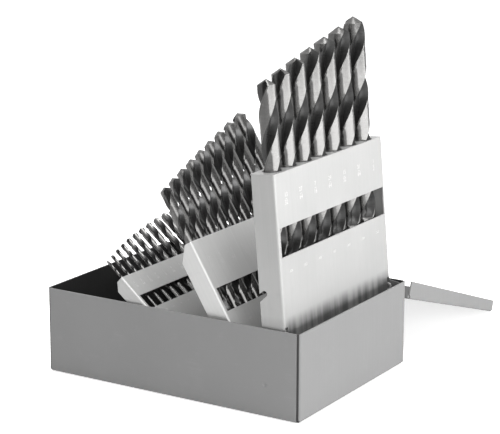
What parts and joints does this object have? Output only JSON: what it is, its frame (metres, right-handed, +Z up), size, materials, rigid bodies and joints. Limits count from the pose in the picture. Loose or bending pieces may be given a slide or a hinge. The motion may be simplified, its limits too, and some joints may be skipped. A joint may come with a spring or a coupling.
{
  "type": "drill bit case",
  "caption": "Fold-out sheet metal drill bit case: open hinged lid, three tilting tied holders with windows, and twist drill bits standing tip up in steps of 1/64 inch.",
  "frame": {"origin": "centre of the tray's underside", "axes": "+Z up, +X towards the large bits' end of the tray, +Y towards the hinge and the open lid"},
  "size_m": [0.1714, 0.2481, 0.2051],
  "materials": {
    "case_paint": "satin grey enamel",
    "dark_steel": "dark coated",
    "plated_steel": "bright zinc plated sheet",
    "pin_steel": "plain turned steel",
    "bit_steel": "oil-tempered high speed steel with ground lands"
  },
  "bodies": {
    "case": {"tray": "case_paint", "bracket_front": "dark_steel", "bracket_back": "dark_steel", "bracket_rivets": "case_paint", "large_pivot_pins": "pin_steel", "medium_pivot_pins": "pin_steel", "small_pivot_pins": "pin_steel", "hinge_tray_leaf": "case_paint", "hinge_pin": "pin_steel"},
    "lid": {"lid": "case_paint", "hinge_lid_leaf": "case_paint"},
    "large_rack": {"large_holder": "plated_steel", "large_top_guide": "plated_steel", "large_mid_guide": "plated_steel", "large_seat": "plated_steel", "large_bar_pins": "pin_steel"},
    "medium_rack": {"medium_holder": "plated_steel", "medium_top_guide": "plated_steel", "medium_mid_guide": "plated_steel", "medium_seat": "plated_steel", "medium_bar_pins": "pin_steel"},
    "small_rack": {"small_holder": "plated_steel", "small_top_guide": "plated_steel", "small_mid_guide": "plated_steel", "small_seat": "plated_steel", "small_bar_pins": "pin_steel"},
    "upper_bars": {"upper_tie_bars": "plated_steel"},
    "lower_bars": {"lower_tie_bars": "plated_steel"},
    "bit_26_64": {"bit_26_64": "bit_steel"},
    "bit_27_64": {"bit_27_64": "bit_steel"},
    "bit_28_64": {"bit_28_64": "bit_steel"},
    "bit_29_64": {"bit_29_64": "bit_steel"},
    "bit_30_64": {"bit_30_64": "bit_steel"},
    "bit_31_64": {"bit_31_64": "bit_steel"},
    "bit_32_64": {"bit_32_64": "bit_steel"},
    "bit_17_64": {"bit_17_64": "bit_steel"},
    "bit_18_64": {"bit_18_64": "bit_steel"},
    "bit_19_64": {"bit_19_64": "bit_steel"},
    "bit_20_64": {"bit_20_64": "bit_steel"},
    "bit_21_64": {"bit_21_64": "bit_steel"},
    "bit_22_64": {"bit_22_64": "bit_steel"},
    "bit_23_64": {"bit_23_64": "bit_steel"},
    "bit_24_64": {"bit_24_64": "bit_steel"},
    "bit_25_64": {"bit_25_64": "bit_steel"},
    "bit_04_64": {"bit_04_64": "bit_steel"},
    "bit_05_64": {"bit_05_64": "bit_steel"},
    "bit_06_64": {"bit_06_64": "bit_steel"},
    "bit_07_64": {"bit_07_64": "bit_steel"},
    "bit_08_64": {"bit_08_64": "bit_steel"},
    "bit_09_64": {"bit_09_64": "bit_steel"},
    "bit_10_64": {"bit_10_64": "bit_steel"},
    "bit_11_64": {"bit_11_64": "bit_steel"},
    "bit_12_64": {"bit_12_64": "bit_steel"},
    "bit_13_64": {"bit_13_64": "bit_steel"},
    "bit_14_64": {"bit_14_64": "bit_steel"},
    "bit_15_64": {"bit_15_64": "bit_steel"},
    "bit_16_64": {"bit_16_64": "bit_steel"}
  },
  "joints": [
    {"name": "lid_hinge", "type": "hinge", "parent": "case", "child": "lid", "pos_m": [0, 0.0644, 0.0448], "axis": [1, 0, 0], "range_deg": [0, 97]},
    {"name": "rack_fold", "type": "hinge", "parent": "case", "child": "large_rack", "pos_m": [0.079, 0, 0.046], "axis": [0, 1, 0], "range_deg": [-85, 0]},
    {"name": "medium_fold", "type": "hinge", "parent": "case", "child": "medium_rack", "pos_m": [0.0548, 0, 0.0305], "axis": [0, 1, 0], "range_deg": [-58.51, 0]},
    {"name": "small_fold", "type": "hinge", "parent": "case", "child": "small_rack", "pos_m": [0.0279, 0, 0.0179], "axis": [0, 1, 0], "range_deg": [-40.01, 0]},
    {"name": "upper_bar_turn", "type": "hinge", "parent": "large_rack", "child": "upper_bars", "pos_m": [0.07494, 0, 0.04655], "axis": [0, 1, 0], "range_deg": [0, 79.93]},
    {"name": "lower_bar_turn", "type": "hinge", "parent": "medium_rack", "child": "lower_bars", "pos_m": [0.05075, 0, 0.0306], "axis": [0, 1, 0], "range_deg": [0, 55.12]},
    {"name": "bit_26_64_slide", "type": "slide", "parent": "large_rack", "child": "bit_26_64", "axis": [-0.0872, 0, 0.9962], "range_m": [0, 0.0869]},
    {"name": "bit_27_64_slide", "type": "slide", "parent": "large_rack", "child": "bit_27_64", "axis": [-0.0872, 0, 0.9962], "range_m": [0, 0.0865]},
    {"name": "bit_28_64_slide", "type": "slide", "parent": "large_rack", "child": "bit_28_64", "axis": [-0.0872, 0, 0.9962], "range_m": [0, 0.086]},
    {"name": "bit_29_64_slide", "type": "slide", "parent": "large_rack", "child": "bit_29_64", "axis": [-0.0872, 0, 0.9962], "range_m": [0, 0.0856]},
    {"name": "bit_30_64_slide", "type": "slide", "parent": "large_rack", "child": "bit_30_64", "axis": [-0.0872, 0, 0.9962], "range_m": [0, 0.0852]},
    {"name": "bit_31_64_slide", "type": "slide", "parent": "large_rack", "child": "bit_31_64", "axis": [-0.0872, 0, 0.9962], "range_m": [0, 0.0847]},
    {"name": "bit_32_64_slide", "type": "slide", "parent": "large_rack", "child": "bit_32_64", "axis": [-0.0872, 0, 0.9962], "range_m": [0, 0.0842]},
    {"name": "bit_17_64_slide", "type": "slide", "parent": "medium_rack", "child": "bit_17_64", "axis": [-0.5225, 0, 0.8526], "range_m": [0, 0.0734]},
    {"name": "bit_18_64_slide", "type": "slide", "parent": "medium_rack", "child": "bit_18_64", "axis": [-0.5225, 0, 0.8526], "range_m": [0, 0.0731]},
    {"name": "bit_19_64_slide", "type": "slide", "parent": "medium_rack", "child": "bit_19_64", "axis": [-0.5225, 0, 0.8526], "range_m": [0, 0.0727]},
    {"name": "bit_20_64_slide", "type": "slide", "parent": "medium_rack", "child": "bit_20_64", "axis": [-0.5225, 0, 0.8526], "range_m": [0, 0.0723]},
    {"name": "bit_21_64_slide", "type": "slide", "parent": "medium_rack", "child": "bit_21_64", "axis": [-0.5225, 0, 0.8526], "range_m": [0, 0.072]},
    {"name": "bit_22_64_slide", "type": "slide", "parent": "medium_rack", "child": "bit_22_64", "axis": [-0.5225, 0, 0.8526], "range_m": [0, 0.0716]},
    {"name": "bit_23_64_slide", "type": "slide", "parent": "medium_rack", "child": "bit_23_64", "axis": [-0.5225, 0, 0.8526], "range_m": [0, 0.0712]},
    {"name": "bit_24_64_slide", "type": "slide", "parent": "medium_rack", "child": "bit_24_64", "axis": [-0.5225, 0, 0.8526], "range_m": [0, 0.0708]},
    {"name": "bit_25_64_slide", "type": "slide", "parent": "medium_rack", "child": "bit_25_64", "axis": [-0.5225, 0, 0.8526], "range_m": [0, 0.0704]},
    {"name": "bit_04_64_slide", "type": "slide", "parent": "small_rack", "child": "bit_04_64", "axis": [-0.766, 0, 0.6428], "range_m": [0, 0.0357]},
    {"name": "bit_05_64_slide", "type": "slide", "parent": "small_rack", "child": "bit_05_64", "axis": [-0.766, 0, 0.6428], "range_m": [0, 0.0379]},
    {"name": "bit_06_64_slide", "type": "slide", "parent": "small_rack", "child": "bit_06_64", "axis": [-0.766, 0, 0.6428], "range_m": [0, 0.0401]},
    {"name": "bit_07_64_slide", "type": "slide", "parent": "small_rack", "child": "bit_07_64", "axis": [-0.766, 0, 0.6428], "range_m": [0, 0.0425]},
    {"name": "bit_08_64_slide", "type": "slide", "parent": "small_rack", "child": "bit_08_64", "axis": [-0.766, 0, 0.6428], "range_m": [0, 0.0451]},
    {"name": "bit_09_64_slide", "type": "slide", "parent": "small_rack", "child": "bit_09_64", "axis": [-0.766, 0, 0.6428], "range_m": [0, 0.0478]},
    {"name": "bit_10_64_slide", "type": "slide", "parent": "small_rack", "child": "bit_10_64", "axis": [-0.766, 0, 0.6428], "range_m": [0, 0.0506]},
    {"name": "bit_11_64_slide", "type": "slide", "parent": "small_rack", "child": "bit_11_64", "axis": [-0.766, 0, 0.6428], "range_m": [0, 0.0535]},
    {"name": "bit_12_64_slide", "type": "slide", "parent": "small_rack", "child": "bit_12_64", "axis": [-0.766, 0, 0.6428], "range_m": [0, 0.0566]},
    {"name": "bit_13_64_slide", "type": "slide", "parent": "small_rack", "child": "bit_13_64", "axis": [-0.766, 0, 0.6428], "range_m": [0, 0.0598]},
    {"name": "bit_14_64_slide", "type": "slide", "parent": "small_rack", "child": "bit_14_64", "axis": [-0.766, 0, 0.6428], "range_m": [0, 0.0631]},
    {"name": "bit_15_64_slide", "type": "slide", "parent": "small_rack", "child": "bit_15_64", "axis": [-0.766, 0, 0.6428], "range_m": [0, 0.0665]},
    {"name": "bit_16_64_slide", "type": "slide", "parent": "small_rack", "child": "bit_16_64", "axis": [-0.766, 0, 0.6428], "range_m": [0, 0.0701]}
  ],
  "couplings": [
    {"joint": "medium_fold", "follows": "rack_fold", "ratio": 0.68824},
    {"joint": "small_fold", "follows": "rack_fold", "ratio": 0.47059},
    {"joint": "upper_bar_turn", "follows": "rack_fold", "ratio": -0.94018},
    {"joint": "lower_bar_turn", "follows": "rack_fold", "ratio": -0.64833}
  ]
}
